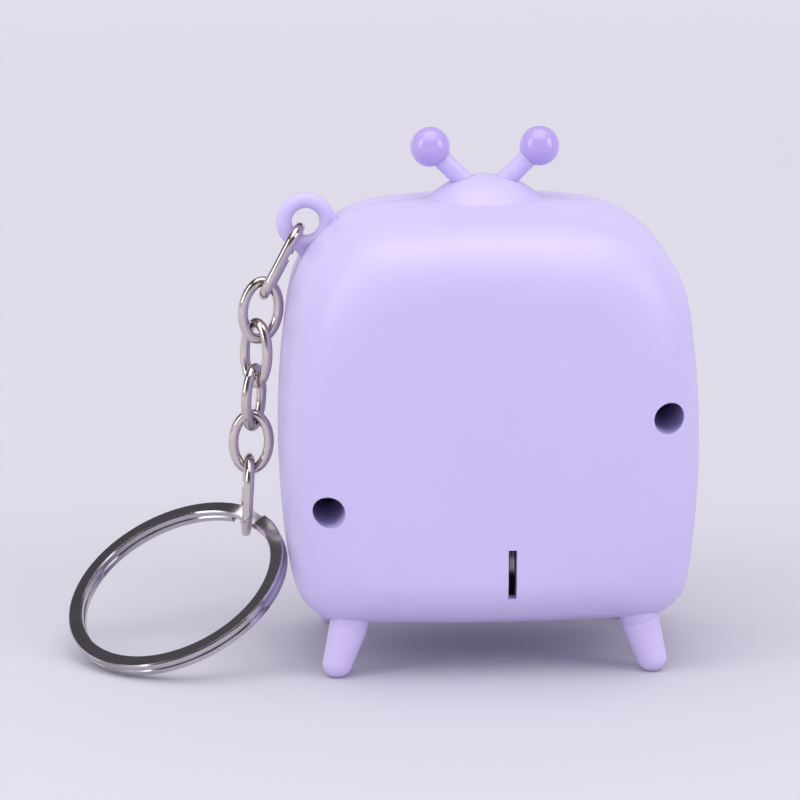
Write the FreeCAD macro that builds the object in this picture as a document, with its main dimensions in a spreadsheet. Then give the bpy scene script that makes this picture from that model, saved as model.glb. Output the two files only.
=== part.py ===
import FreeCAD, Part
import math
import os
import Sketcher

# Pocket virtual-pet toy on a short chain with a split ring.
# Frame: X across the case, +Y towards the rear cover, +Z up.  The origin lies on the plane
# the feet stand on, midway across the case, under the parting plane.  The screen and the
# buttons face -Y.  Left and right are the toy's own, so left is +X.

Vector = FreeCAD.Vector
Placement = FreeCAD.Placement
Constraint = Sketcher.Constraint
doc = FreeCAD.newDocument("virtual_pet")
sheet = doc.addObject("Spreadsheet::Sheet", "sizes")

# Alias and value (mm, degrees) of every driving size; text values are sheet formulas.
DRIVING_SIZES = [
    # case
    ("case_half_width", 25.42), ("case_top", 55.7), ("case_base", 5.25),
    ("widest_height", 26.4), ("side_arc", 110.0), ("top_arc", 105.0), ("base_arc", 400.0),
    ("top_corner", 13.3), ("base_corner", 5.6), ("rear_depth", 21.6), ("front_depth", 10.5),
    ("rear_round", 8.6), ("front_round", 5.0), ("base_round", 7.0),
    ("rear_fullness", 6.0), ("front_fullness", 5.0), ("wall", 1.5), ("seam_half_gap", 0.06),
    # the outline draws in by "draft" over each "draft_depth" of depth
    ("draft", 0.25), ("draft_depth", 13.0),
    ("lip_thick", 0.75), ("lip_reach", 1.5), ("lip_clear", 0.14),
    # dome and antennas
    ("dome_sphere", 9.8), ("dome_centre_height", 48.5), ("rod_radius", 1.22),
    ("rod_length", 10.35), ("rod_clear", 1.27), ("hub_radius", 1.85), ("hub_length", 4.8),
    ("hub_height", 55.0), ("hub_pocket_radius", 1.95), ("hub_pocket_length", 5.1),
    ("ball_radius", 2.45), ("ball_centre_x", 6.68), ("ball_centre_z", 61.75),
    ("ball_socket_radius", 1.25),
    # legs
    ("leg_tip_radius", 1.8), ("leg_top_radius", 2.35), ("leg_length", 6.6),
    ("leg_shank", "=leg_length - leg_tip_radius"), ("leg_peg_radius", 2.31),
    ("leg_peg_length", 3.0), ("leg_lean_out", 17.5), ("leg_lean_fore", 8.0),
    ("leg_socket_radius", 2.34), ("leg_pad_radius", 3.0), ("leg_pad_length", 8.1),
    ("leg_seat_radius", 2.38), ("foot_flat", 0.12),
    # lug and chain
    ("lug_major", 2.66), ("lug_minor", 0.98), ("wire_radius", 0.64),
    ("end_link_bend", 2.4), ("end_link_straight", 4.674),
    ("ring_link_bend", 2.9), ("ring_link_straight", 3.5), ("link_gap", 0.85),
    ("link_two_long", 3.614), ("link_two_wide", 2.2),
    ("link_three_long", 3.79), ("link_three_wide", 2.2),
    ("link_four_long", 3.69), ("link_four_wide", 2.2),
    ("link_five_long", 3.493), ("link_five_wide", 2.2),
    # split ring
    ("ring_radius", 14.2), ("ring_strip_width", 1.8), ("ring_strip_thick", 0.88),
    ("ring_pitch", 0.9), ("ring_chamfer", 0.16), ("ring_jog_angle", 22.0),
    ("ring_end_angle", 0.35),
    # screen stack
    ("screen_height", 35.5), ("window_w", 30.2), ("window_h", 23.2), ("window_corner", 4.1),
    ("frame_w", 35.0), ("frame_h", 28.0), ("frame_corner", 6.5), ("frame_thick", 1.0),
    ("frame_edge", 0.45), ("spigot_w", 30.0), ("spigot_h", 23.0), ("spigot_corner", 4.0),
    ("spigot_depth", 1.45), ("opening_w", 26.0), ("opening_h", 19.0), ("opening_corner", 3.0),
    ("frame_through", 4.0), ("seat_w", 28.0), ("seat_h", 21.0), ("seat_corner", 4.0),
    ("seat_reach", 1.55), ("lens_flange_w", 27.9), ("lens_flange_h", 20.9),
    ("lens_flange_thick", 1.0), ("lens_flange_corner", 3.95), ("lens_w", 25.8),
    ("lens_h", 18.8), ("lens_corner", 2.9), ("lens_thick", 2.05), ("lens_crown", 130.0),
    ("film_w", 24.0), ("film_h", 17.0), ("film_thick", 0.19),
    ("glass_w", 26.0), ("glass_h", 20.0), ("glass_thick", 1.48),
    ("holder_w", 29.0), ("holder_h", 24.0), ("holder_depth", 4.4), ("holder_corner", 1.5),
    ("holder_seat_w", 26.2), ("holder_seat_h", 20.2), ("holder_seat_depth", 1.9),
    ("holder_open_w", 24.3), ("holder_open_h", 20.1),
    ("zebra_length", 22.0), ("zebra_width", 1.1), ("zebra_height", 2.76),
    ("zebra_spacing", 9.35),
    # buttons
    ("button_row_height", 15.6), ("button_pitch", 11.0), ("button_hole_radius", 3.1),
    ("button_radius", 3.0), ("button_cap_top", 4.9), ("button_flange_radius", 3.7),
    ("button_flange_low", 1.3), ("button_flange_high", 2.07), ("button_stem_radius", 1.6),
    ("button_round", 0.9), ("pill_radius", 2.0), ("pill_thick", 1.45), ("pill_edge", 0.3),
    ("keypad_w", 28.4), ("keypad_h", 7.6), ("keypad_thick", 0.8),
    ("keypad_hole_radius", 2.4), ("keypad_corner", 1.2),
    # board
    ("board_w", 37.0), ("board_h", 38.0), ("board_thick", 1.0), ("board_corner", 1.5),
    ("board_mid_height", 30.0), ("board_notch_radius", 3.5), ("board_hole_radius", 0.95),
    ("board_boss_radius", 1.9), ("board_pilot_radius", 0.72), ("board_screw_radius", 0.7),
    ("board_screw_head_radius", 1.45), ("board_screw_edge", 0.55), ("board_screw_crown", 0.9),
    ("board_screw_length", 4.6), ("board_screw_point", 5.0),
    ("stake_radius", 1.4), ("stake_hole_radius", 0.85),
    ("stake_pin_radius", "=stake_hole_radius - 0.04"),
    ("blob_radius", 4.5), ("blob_thick", 1.3),
    ("blob_sphere",
     "=(blob_radius * blob_radius + blob_thick * blob_thick) / (2 * blob_thick)"),
    ("crystal_radius", 1.0), ("crystal_length", 6.0),
    # case screws
    ("bore_radius", 1.9), ("bore_floor", 8.6), ("tube_radius", 3.1), ("tube_end", 0.6),
    ("screw_clear_radius", 1.1), ("case_boss_radius", 2.9), ("case_pilot_radius", 0.97),
    ("screw_radius", 0.95), ("screw_head_radius", 1.72), ("screw_head", 1.2),
    ("screw_head_edge", 0.65), ("screw_crown_radius", 1.1), ("screw_length", 13.6),
    ("screw_point", 14.6), ("recess_length", 2.2), ("recess_width", 0.45),
    ("recess_depth", 0.7),
    # pull-tab slot
    ("slot_x", -1.6), ("slot_width", 1.0), ("slot_low", 10.5), ("slot_high", 16.6),
    ("slot_height", "=slot_high - slot_low"),
    # cells, contacts and sounder
    ("cell_radius", 5.8), ("cell_can", 4.9), ("cell_cap_radius", 4.7), ("cell_thick", 5.4),
    ("cell_edge", 0.35), ("cell_y", 12.4), ("cell_z", 13.55), ("spring_radius", 2.6),
    ("spring_pitch", 0.85), ("spring_height", 2.55), ("spring_wire", 0.25),
    ("plate_w", 6.0), ("plate_h", 7.0), ("plate_thick", 0.3),
    ("piezo_radius", 7.5), ("piezo_thick", 0.2), ("ceramic_radius", 5.6),
    ("ceramic_thick", 0.2), ("piezo_height", 37.0), ("lead_radius", 0.4),
]
for row, (alias, value) in enumerate(DRIVING_SIZES, 1):
    sheet.set("A%d" % row, alias.replace("_", " "))
    sheet.set("B%d" % row, str(value))
    sheet.setAlias("B%d" % row, alias)
doc.recompute()
SIZE = {alias: float(getattr(sheet, alias)) for alias, value in DRIVING_SIZES}


def turn_about(axis, angle):
    return FreeCAD.Rotation(Vector(*axis), angle)


UNTURNED = turn_about((0, 0, 1), 0)
TO_FRONT = turn_about((1, 0, 0), 90)     # local z runs to -Y, local y runs up
TO_REAR = turn_about((1, 0, 0), -90)     # local z runs to +Y
TO_LEFT = turn_about((0, 1, 0), 90)      # local z runs to +X

SIDES = ((1, "left"), (-1, "right"))
TOUCH_GAP = 0.01                         # between pieces that rest on each other

# Screw and stake places are (x, z).
CASE_SCREWS = [(20.2, 21.4), (-20.2, 32.2)]
BOARD_SCREWS = [(16.9, 46.9), (-16.9, 46.9), (16.4, 12.4), (-16.4, 12.4)]
STAKES = [(6.4, 17.6), (-6.6, 17.6)]
BUTTONS = [(i * SIZE["button_pitch"], SIZE["button_row_height"]) for i in (-1, 0, 1)]

BOARD_FRONT = -4.4
BOARD_BACK = BOARD_FRONT + SIZE["board_thick"]
SCREEN_Z = SIZE["screen_height"]

pieces = []


def piece(obj):
    """Mark a finished object for export under its label."""
    pieces.append(obj)


def drive(obj, prop, value):
    """Bind a property to a named size, or set it to a plain number."""
    if isinstance(value, str):
        obj.setExpression(prop, "sizes." + value)
    else:
        setattr(obj, prop, value)


# ---------------------------------------------------------------- PartDesign helpers
def body(name, at, turn):
    result = doc.addObject("PartDesign::Body", name)
    result.Label = name
    result.Placement = Placement(Vector(*at), turn)
    return result


def sketch(owner, role="XY_Plane", shift=(0, 0, 0)):
    plane = next(f for f in owner.Origin.OriginFeatures if f.Role == role)
    result = owner.newObject("Sketcher::SketchObject", owner.Name + "_sketch")
    result.AttachmentSupport = [(plane, "")]
    result.MapMode = "FlatFace"
    result.AttachmentOffset = Placement(Vector(*shift), UNTURNED)
    return result


def dimension(target, label, constraint, formula):
    """Add a named dimension driven by a formula on the sheet."""
    target.renameConstraint(target.addConstraint(constraint), label)
    target.setExpression("Constraints." + label, formula)


def draw_lines(target, points):
    """Closed straight-sided outline; returns the line numbers."""
    following = points[1:] + points[:1]
    lines = [target.addGeometry(Part.LineSegment(Vector(*start, 0), Vector(*end, 0)), False)
             for start, end in zip(points, following)]
    for line, after in zip(lines, lines[1:] + lines[:1]):
        target.addConstraint(Constraint("Coincident", line, 2, after, 1))
    return lines


def draw_rect(target, width, height):
    x, y = SIZE[width] / 2, SIZE[height] / 2
    lines = draw_lines(target, [(-x, -y), (x, -y), (x, y), (-x, y)])
    target.addConstraint(Constraint("Horizontal", lines[0]))
    target.addConstraint(Constraint("Horizontal", lines[2]))
    target.addConstraint(Constraint("Vertical", lines[1]))
    target.addConstraint(Constraint("Vertical", lines[3]))
    target.addConstraint(Constraint("Symmetric", lines[0], 1, lines[2], 1, -1, 1))
    dimension(target, "wide", Constraint("DistanceX", lines[0], 1, lines[0], 2, SIZE[width]),
              "sizes." + width)
    dimension(target, "high", Constraint("DistanceY", lines[1], 1, lines[1], 2, SIZE[height]),
              "sizes." + height)


def draw_circle(target, radius):
    circle = target.addGeometry(
        Part.Circle(Vector(0, 0, 0), Vector(0, 0, 1), SIZE[radius]), False)
    target.addConstraint(Constraint("Coincident", circle, 3, -1, 1))
    dimension(target, "round", Constraint("Radius", circle, SIZE[radius]), "sizes." + radius)


def coordinate(entry):
    """Value of a profile entry: a number, or a size's name with or without a minus sign."""
    if not isinstance(entry, str):
        return float(entry)
    return -SIZE[entry[1:]] if entry.startswith("-") else SIZE[entry]


def draw_profile(target, points):
    values = [tuple(coordinate(entry) for entry in point) for point in points]
    lines = draw_lines(target, values)
    for i, point in enumerate(points):
        for j, kind in ((0, "DistanceX"), (1, "DistanceY")):
            if abs(values[i][j]) < 1e-9:
                axis = -2 if j == 0 else -1
                target.addConstraint(Constraint("PointOnObject", lines[i], 1, axis))
                continue
            distance = Constraint(kind, -1, 1, lines[i], 1, values[i][j])
            if isinstance(point[j], str):
                sign = "-" if point[j].startswith("-") else ""
                dimension(target, "p%d%s" % (i, "xy"[j]), distance,
                          sign + "sizes." + point[j].lstrip("-"))
            else:
                target.addConstraint(distance)


def pad(owner, profile, length, back=False):
    result = owner.newObject("PartDesign::Pad", owner.Name + "_pad")
    result.Profile = profile
    drive(result, "Length", length)
    result.Reversed = back
    doc.recompute()


def pocket(owner, profile, length):
    result = owner.newObject("PartDesign::Pocket", owner.Name + "_pocket")
    result.Profile = profile
    drive(result, "Length", length)
    doc.recompute()


def pocket_rect(owner, width, height, depth, start):
    """Rectangular pocket cut down from the local height of a named size."""
    profile = sketch(owner, shift=(0, 0, SIZE[start]))
    draw_rect(profile, width, height)
    pocket(owner, profile, depth)


def pocket_hole(owner, radius, depth, x, y):
    """Round hole through a plate that is as thick as the named depth."""
    profile = sketch(owner, shift=(x, y, SIZE[depth]))
    draw_circle(profile, radius)
    pocket(owner, profile, depth)


def revolve(owner, profile):
    result = owner.newObject("PartDesign::Revolution", owner.Name + "_turn")
    result.Profile = profile
    result.ReferenceAxis = (profile, ["V_Axis"])
    result.Angle = 360.0
    doc.recompute()


def upright(edge):
    """Straight edge along local z."""
    if len(edge.Vertexes) != 2:
        return False
    span = edge.Vertexes[1].Point - edge.Vertexes[0].Point
    return isinstance(edge.Curve, Part.Line) and abs(span.x) < 1e-6 and abs(span.y) < 1e-6


def flat_at(z):
    """Test for edges lying wholly at local height z."""
    def test(edge):
        bounds = edge.BoundBox
        return abs(bounds.ZMin - z) < 1e-5 and abs(bounds.ZMax - z) < 1e-5
    return test


def round_edges(owner, test, radius):
    """Fillet the edges of the body's last feature that pass the test."""
    base = owner.Tip
    names = ["Edge%d" % i for i, edge in enumerate(base.Shape.Edges, 1) if test(edge)]
    result = owner.newObject("PartDesign::Fillet", owner.Name + "_round")
    result.Base = (base, names)
    drive(result, "Radius", radius)
    doc.recompute()


def block(name, width, height, thick, at, corner=None, turn=TO_FRONT):
    """Rectangular plate centred on `at`, padded along local z, with optional round corners."""
    result = body(name, at, turn)
    profile = sketch(result)
    draw_rect(profile, width, height)
    pad(result, profile, thick)
    if corner:
        round_edges(result, upright, corner)
    return result


def disc(name, radius, thick, at):
    """Disc padded from `at` towards the front."""
    result = body(name, at, TO_FRONT)
    profile = sketch(result)
    draw_circle(profile, radius)
    pad(result, profile, thick)
    return result


def turned(name, points, at, turn):
    """Body of revolution about local z from (radius, height) points."""
    result = body(name, at, turn)
    profile = sketch(result, "XZ_Plane")
    draw_profile(profile, points)
    revolve(result, profile)
    return result


# ---------------------------------------------------------------- Part helpers
def cylinder(name, radius, length, at, turn):
    result = doc.addObject("Part::Cylinder", name)
    drive(result, "Radius", radius)
    drive(result, "Height", length)
    result.Placement = Placement(Vector(*at), turn)
    return result


def cylinders_at(name, spots, radius, length, y):
    """Cylinders running to the rear from depth y, one at each (x, z)."""
    return [cylinder("%s_%d" % (name, i), radius, length, (x, y, z), TO_REAR)
            for i, (x, z) in enumerate(spots)]


def box(name, extents, at):
    result = doc.addObject("Part::Box", name)
    for prop, value in zip(("Length", "Width", "Height"), extents):
        drive(result, prop, value)
    result.Placement = Placement(Vector(*at), UNTURNED)
    return result


def sphere(name, radius, at):
    result = doc.addObject("Part::Sphere", name)
    drive(result, "Radius", radius)
    result.Placement = Placement(Vector(*at), UNTURNED)
    return result


def torus(name, major, minor, placement):
    result = doc.addObject("Part::Torus", name)
    drive(result, "Radius1", major)
    drive(result, "Radius2", minor)
    result.Placement = placement
    return result


def feature(name, shape):
    result = doc.addObject("Part::Feature", name)
    result.Shape = shape
    return result


def fuse(name, parts):
    result = doc.addObject("Part::MultiFuse", name)
    result.Shapes = parts
    return result


def cut(name, base, tool):
    result = doc.addObject("Part::Cut", name)
    result.Base = base
    result.Tool = tool
    return result


def common(name, parts):
    result = doc.addObject("Part::MultiCommon", name)
    result.Shapes = parts
    return result


def compound(name, parts):
    result = doc.addObject("Part::Compound", name)
    result.Links = parts
    return result


def sweep(name, section, path):
    """Solid sweep of a wire section along the one edge of a path object."""
    result = doc.addObject("Part::Sweep", name)
    result.Sections = [section]
    result.Spine = (path, ["Edge1"])
    result.Solid = True
    result.Frenet = True
    return result


def wire_section(name, radius, offset):
    """Wire circle in the local XZ plane, a named distance out along local x."""
    result = doc.addObject("Part::Circle", name)
    drive(result, "Radius", radius)
    result.Placement = Placement(Vector(SIZE[offset], 0, 0), TO_FRONT)
    drive(result, "Placement.Base.x", offset)
    return result


def axes_placement(origin, x_axis, y_axis, z_axis):
    matrix = FreeCAD.Matrix(x_axis.x, y_axis.x, z_axis.x, 0,
                            x_axis.y, y_axis.y, z_axis.y, 0,
                            x_axis.z, y_axis.z, z_axis.z, 0,
                            0, 0, 0, 1)
    return Placement(origin, Placement(matrix).Rotation)


# ---------------------------------------------------------------- case outline
WIDEST_Z = SIZE["widest_height"]


def corner_centre(side, side_reach, other, other_reach, hand):
    """Point at the given distances from two arc centres; hand +1 is right of side-to-other."""
    across, up = other[0] - side[0], other[1] - side[1]
    apart = math.hypot(across, up)
    across, up = across / apart, up / apart
    along = (side_reach ** 2 - other_reach ** 2 + apart ** 2) / (2 * apart)
    off = hand * math.sqrt(side_reach ** 2 - along ** 2)
    return (side[0] + along * across + off * up, side[1] + along * up - off * across)


def direction(start, end):
    return math.atan2(end[1] - start[1], end[0] - start[0])


def arc_points(centre, radius, start, end, steps):
    """Points along an arc, without its end point."""
    angles = [start + (end - start) * i / steps for i in range(steps)]
    return [(centre[0] + radius * math.cos(a), centre[1] + radius * math.sin(a))
            for a in angles]


def half_outline():
    """Left half (+X) of the outline in the parting plane, from top centre to base centre.

    Crowned top, rounded top corner, bowed side, rounded base corner, barely crowned base.
    """
    side_arc, top_arc, base_arc = SIZE["side_arc"], SIZE["top_arc"], SIZE["base_arc"]
    top_corner, base_corner = SIZE["top_corner"], SIZE["base_corner"]
    side = (SIZE["case_half_width"] - side_arc, WIDEST_Z)
    top = (0.0, SIZE["case_top"] - top_arc)
    base = (0.0, SIZE["case_base"] + base_arc)
    upper = corner_centre(side, side_arc - top_corner, top, top_arc - top_corner, -1)
    lower = corner_centre(side, side_arc - base_corner, base, base_arc - base_corner, 1)
    top_end, side_start = direction(top, upper), direction(side, upper)
    side_end, base_start = direction(side, lower), direction(base, lower)
    points = arc_points(top, top_arc, math.pi / 2, top_end, 4)
    points += arc_points(upper, top_corner, top_end, side_start, 10)
    points += arc_points(side, side_arc, side_start, side_end, 10)
    points += arc_points(lower, base_corner, side_end, base_start, 9)
    points += arc_points(base, base_arc, base_start, -math.pi / 2, 4)
    points[0] = (0.0, points[0][1])
    points.append((0.0, SIZE["case_base"]))
    return points


HALF_OUTLINE = half_outline()


def outline_wire(y, side, top, base):
    """Closed outline at depth y, drawn in from the parting outline by side, top and base."""
    scale_x = 1 - side / SIZE["case_half_width"]
    scale_top = 1 - top / (SIZE["case_top"] - WIDEST_Z)
    scale_base = 1 - base / (WIDEST_Z - SIZE["case_base"])
    halves = []
    for sign in (1, -1):
        points = [Vector(x * scale_x * sign, y, WIDEST_Z
                         + (z - WIDEST_Z) * (scale_top if z > WIDEST_Z else scale_base))
                  for x, z in HALF_OUTLINE]
        if sign < 0:
            points.reverse()
        curve = Part.BSplineCurve()
        curve.interpolate(Points=points, InitialTangent=Vector(sign, 0, 0),
                          FinalTangent=Vector(-sign, 0, 0))
        halves.append(curve.toShape())
    return Part.Wire(halves)


# Loft stations as fractions of the depth, closer together where the rounding tightens.
STATIONS = [0.14, 0.28, 0.42, 0.54, 0.63, 0.70, 0.755, 0.80, 0.84, 0.873, 0.90, 0.925, 0.945,
            0.962, 0.975, 0.985, 0.9925, 0.9973, 1.0]


def shell_solid(sign, start, depth, edge_round, base_round, inset):
    """Half of the case, to +Y or -Y: drafted sides, then a rounded run-in to a flat face."""
    power = SIZE["rear_fullness"] if sign > 0 else SIZE["front_fullness"]
    wires = []
    for y in [start] + [station * depth for station in STATIONS]:
        deep = max(y, 0.0)
        run = 1 - math.sqrt(max(0.0, 1 - (deep / depth) ** power))
        drawn = SIZE["draft"] * deep / SIZE["draft_depth"] + inset
        edge = drawn + edge_round * run
        wires.append(outline_wire(sign * y, edge, edge, drawn + base_round * run))
    loft = Part.makeLoft(wires, True, False, False, 5)
    # the loft may come out inside out
    if loft.Volume < 0:
        loft.reverse()
    return loft


def band(name, y_start, y_end, outer, inner):
    """Closed band between two insets of the outline."""
    solids = [Part.Face(outline_wire(y_start, inset, inset, inset))
              .extrude(Vector(0, y_end - y_start, 0)) for inset in (outer, inner)]
    return feature(name, solids[0].cut(solids[1]))


# ---------------------------------------------------------------- antenna axes
HUB = Vector(0, 0, SIZE["hub_height"])
CHANNEL_LENGTH = 14.0
# the rods run from the hub up and out at 45 degrees
ROD_DIRECTION = {side: Vector(side, 0, 1).normalize() for side, name in SIDES}
ROD_TURN = {side: FreeCAD.Rotation(Vector(0, 0, 1), ROD_DIRECTION[side])
            for side, name in SIDES}


def antenna_tools(tag):
    tools = [cylinder("rod_channel_%s_%s" % (tag, name), "rod_clear", CHANNEL_LENGTH, HUB,
                      ROD_TURN[side]) for side, name in SIDES]
    start = (0, -SIZE["hub_pocket_length"] / 2, SIZE["hub_height"])
    tools.append(cylinder("hub_pocket_" + tag, "hub_pocket_radius", "hub_pocket_length",
                          start, TO_REAR))
    return tools


# ---------------------------------------------------------------- legs
REAR_LEGS = ("rear_left", "rear_right")
FRONT_LEGS = ("front_left", "front_right")
# x, y of the centre of each ball tip
LEG_TIPS = {"rear_left": (19.08, 16.83), "rear_right": (-19.08, 16.83),
            "front_left": (18.6, -6.2), "front_right": (-18.6, -6.2)}
SOCKET_LENGTH = 12.0
SEAT_CLEAR = 0.02
GROUND_SPAN = 20
GROUND_DEPTH = 5


def leg_axis(x, y):
    """Tip centre, and the turn that lays local z up the leg, leaning in over the case."""
    out = math.copysign(math.tan(math.radians(SIZE["leg_lean_out"])), x)
    fore = math.copysign(math.tan(math.radians(SIZE["leg_lean_fore"])), y)
    upward = Vector(-out, -fore, 1.0).normalize()
    tip = Vector(x, y, SIZE["leg_tip_radius"] - SIZE["foot_flat"])
    return tip, FreeCAD.Rotation(Vector(0, 0, 1), upward)


LEG_AXES = {key: leg_axis(x, y) for key, (x, y) in LEG_TIPS.items()}


def leg_cylinder(name, key, radius, length):
    tip, turn = LEG_AXES[key]
    return cylinder(name + "_" + key, radius, length, tip, turn)


def leg_tools(keys):
    tools = []
    for key in keys:
        tools.append(leg_cylinder("leg_socket", key, "leg_socket_radius", SOCKET_LENGTH))
        tools.append(leg_cylinder("leg_seat", key, "leg_seat_radius",
                                  SIZE["leg_shank"] + SEAT_CLEAR))
    return tools


def leg_pads(keys):
    return [leg_cylinder("leg_pad", key, "leg_pad_radius", "leg_pad_length") for key in keys]


def draw_leg(target):
    """Half section: ball tip, tapered shank, and a straight peg that plugs into the case."""
    tip_radius, top_radius = SIZE["leg_tip_radius"], SIZE["leg_top_radius"]
    peg_radius, shoulder = SIZE["leg_peg_radius"], SIZE["leg_shank"]
    end = shoulder + SIZE["leg_peg_length"]
    circle = Part.Circle(Vector(0, 0, 0), Vector(0, 0, 1), tip_radius)
    tip_arc = target.addGeometry(Part.ArcOfCircle(circle, -math.pi / 2, 0), False)
    corners = [(tip_radius, 0), (top_radius, shoulder), (peg_radius, shoulder),
               (peg_radius, end), (0, end), (0, -tip_radius)]
    shank, step, peg, peg_end, axis = [
        target.addGeometry(Part.LineSegment(Vector(*a, 0), Vector(*b, 0)), False)
        for a, b in zip(corners, corners[1:])]
    target.addConstraint([
        Constraint("Coincident", tip_arc, 3, -1, 1),
        Constraint("Coincident", tip_arc, 2, shank, 1),
        Constraint("Coincident", shank, 2, step, 1),
        Constraint("Coincident", step, 2, peg, 1),
        Constraint("Coincident", peg, 2, peg_end, 1),
        Constraint("Coincident", peg_end, 2, axis, 1),
        Constraint("Coincident", axis, 2, tip_arc, 1),
        Constraint("Vertical", peg), Constraint("Horizontal", step),
        Constraint("Horizontal", peg_end), Constraint("Vertical", axis),
        Constraint("PointOnObject", axis, 1, -2), Constraint("PointOnObject", shank, 1, -1)])
    dimension(target, "tip", Constraint("Radius", tip_arc, tip_radius),
              "sizes.leg_tip_radius")
    dimension(target, "peg", Constraint("DistanceX", -1, 1, peg, 1, peg_radius),
              "sizes.leg_peg_radius")
    dimension(target, "head", Constraint("DistanceX", -1, 1, shank, 2, top_radius),
              "sizes.leg_top_radius")
    dimension(target, "reach",
              Constraint("DistanceY", peg, 1, peg, 2, SIZE["leg_peg_length"]),
              "sizes.leg_peg_length")
    dimension(target, "shank", Constraint("DistanceY", -1, 1, shank, 2, shoulder),
              "sizes.leg_shank")


def leg(key):
    """Leg with its ball tip cut flat at the ground."""
    tip, turn = LEG_AXES[key]
    blank = body("leg_blank_" + key, tip, turn)
    profile = sketch(blank, "XZ_Plane")
    draw_leg(profile)
    revolve(blank, profile)
    ground = box("ground_" + key, (GROUND_SPAN, GROUND_SPAN, GROUND_DEPTH),
                 (tip.x - GROUND_SPAN / 2, tip.y - GROUND_SPAN / 2, -GROUND_DEPTH))
    return cut("leg_" + key, blank, ground)


for leg_key in LEG_TIPS:
    piece(leg(leg_key))

# ---------------------------------------------------------------- case shells
SPACE_START = -0.5           # inner solids begin this far past the parting plane
SPACE_ROUND_LESS = 1.0       # inner rounding is this much smaller than the outer
SKIN_MARGIN = 0.2            # bosses stay this far inside the outer skin
TUBE_LENGTH = 24.0
BOSS_FRONT = -10.4
CASE_BOSS_LENGTH = 10.9
SLOT_START, SLOT_REACH = 15.0, 10.0
WINDOW_BACK = -8.0
LIP_ROOT_FRONT = -2.4
LIP_ROOT_BITE = 0.25         # the lip's root reaches this far into the wall
LIP_TONGUE_FRONT = -0.4
DOME_BOX = (24, 12, 6)
DOME_LOW = 54.3

LUG = Vector(21.83, -1.15, 52.52)
LUG_LEAN = -50
WEB_LENGTH, WEB_THICK, WEB_WIDTH = 3.3, 1.7, 6.6
WEB_START = -3.5             # from the lug's centre towards the case
WEB_ROUND = 0.6
EYE_LENGTH = 3.0

# name, places, radius, length, y of the front end
REAR_CUTTERS = [
    ("screw_bore", CASE_SCREWS, "bore_radius", 20.0, SIZE["bore_floor"]),
    ("screw_clear", CASE_SCREWS, "screw_clear_radius", 20.0, -1.0),
]
FRONT_CUTTERS = [
    ("case_pilot", CASE_SCREWS, "case_pilot_radius", 12.0, -7.4),
    # the lip stops short of each screw tube of the rear cover
    ("lip_relief", CASE_SCREWS, "board_notch_radius", 3.0, 0.52),
    ("board_pilot", BOARD_SCREWS, "board_pilot_radius", 6.0, -8.6),
    ("button_hole", BUTTONS, "button_hole_radius", 6.0, -12.0),
]


def dome_half(name, y_start):
    """Cap of a sphere over the top of the case, on one side of the seam."""
    ball = sphere(name + "_ball", "dome_sphere", (0, 0, SIZE["dome_centre_height"]))
    keep = box(name + "_slab", DOME_BOX, (-DOME_BOX[0] / 2, y_start, DOME_LOW))
    return common(name, [ball, keep])


def rear_shell():
    skin = feature("rear_skin", shell_solid(
        1, SIZE["seam_half_gap"], SIZE["rear_depth"], SIZE["rear_round"],
        SIZE["base_round"], 0.0))
    space = feature("rear_space", shell_solid(
        1, SPACE_START, SIZE["rear_depth"] - SIZE["wall"],
        SIZE["rear_round"] - SPACE_ROUND_LESS, SIZE["base_round"] - SPACE_ROUND_LESS,
        SIZE["wall"]))
    tubes = cylinders_at("screw_tube", CASE_SCREWS, "tube_radius", TUBE_LENGTH,
                         SIZE["tube_end"])
    tube_stack = common("tube_stack", [fuse("tubes_raw", tubes), skin])
    hollow = cut("rear_hollow", skin, space)
    pad_stack = common("leg_pad_rear", [fuse("leg_pads_rear_raw", leg_pads(REAR_LEGS)), skin])
    dome = dome_half("rear_dome", SIZE["seam_half_gap"])
    solid = fuse("rear_solid", [hollow, tube_stack, pad_stack, dome])
    tools = []
    for cutter in REAR_CUTTERS:
        tools += cylinders_at(*cutter)
    tools.append(box("tab_slot", ("slot_width", SLOT_REACH, "slot_height"),
                     (SIZE["slot_x"] - SIZE["slot_width"] / 2, SLOT_START, SIZE["slot_low"])))
    tools += antenna_tools("rear") + leg_tools(REAR_LEGS)
    return cut("rear_shell", solid, fuse("rear_tools", tools))


def lug_web(space):
    """Flat web from the lug into the case, with rounded long edges and the eye kept open."""
    blank = box("lug_web_box", (WEB_LENGTH, WEB_THICK, WEB_WIDTH), (0, 0, 0))
    doc.recompute()
    web = doc.addObject("Part::Fillet", "lug_web")
    web.Base = blank
    web.Edges = [(i, WEB_ROUND, WEB_ROUND) for i, edge in enumerate(blank.Shape.Edges, 1)
                 if abs((edge.Vertexes[-1].Point - edge.Vertexes[0].Point).x) > 1.0]
    lean = Placement(Vector(LUG.x, LUG.y - WEB_THICK / 2, LUG.z),
                     turn_about((0, 1, 0), LUG_LEAN))
    web.Placement = lean * Placement(Vector(WEB_START, 0, -WEB_WIDTH / 2), UNTURNED)
    eye = cylinder("lug_eye", "lug_major", EYE_LENGTH,
                   (LUG.x, LUG.y - EYE_LENGTH / 2, LUG.z), TO_REAR)
    return cut("lug_web_open", cut("lug_web_outer", web, space), eye)


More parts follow.
